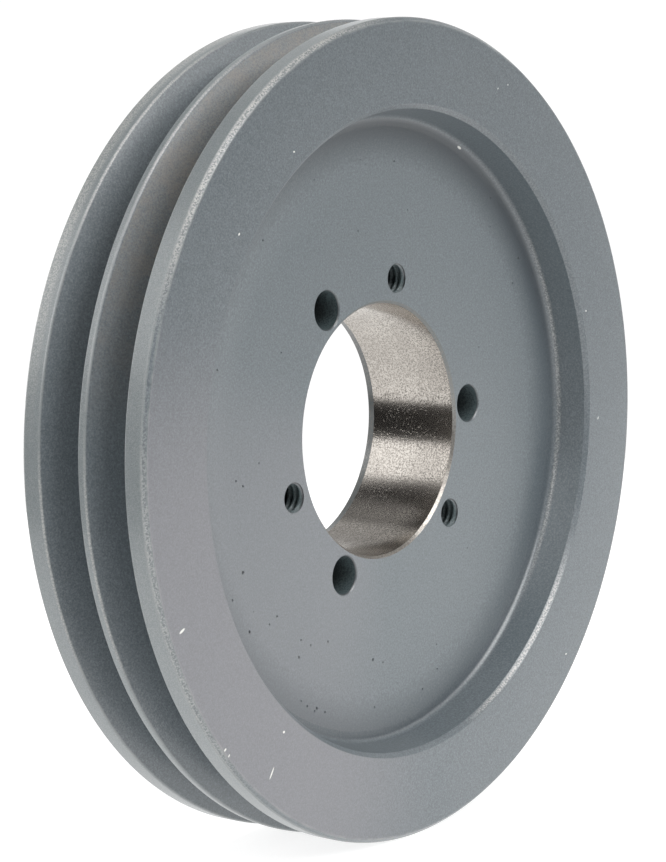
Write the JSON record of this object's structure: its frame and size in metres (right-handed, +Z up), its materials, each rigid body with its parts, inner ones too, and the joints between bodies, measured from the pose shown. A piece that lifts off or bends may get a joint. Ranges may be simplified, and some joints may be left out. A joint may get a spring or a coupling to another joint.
{
  "type": "v belt pulley",
  "caption": "Painted cast iron V-belt pulley with side-by-side belt grooves, a recessed web and a bare taper bore for a quick-detachable bushing.",
  "frame": {"origin": "on the spin axis, halfway between the front face of the rim and the rear face of the hub", "axes": "spins about Y; the front, with the deep recess and the bore's large end, faces -Y; +Z up; the first clearance hole is 6.2 degrees above +X"},
  "size_m": [0.1524, 0.0288, 0.1524],
  "materials": {
    "enamel": "satin blue-grey enamel over iron",
    "bare_iron": "fine machined"
  },
  "bodies": {
    "root": {"front_flange": "enamel", "middle_rib": "enamel", "rear_flange": "enamel", "rim_barrel": "enamel", "web": "enamel", "hub": "enamel", "taper_seat": "bare_iron"}
  },
  "joints": []
}
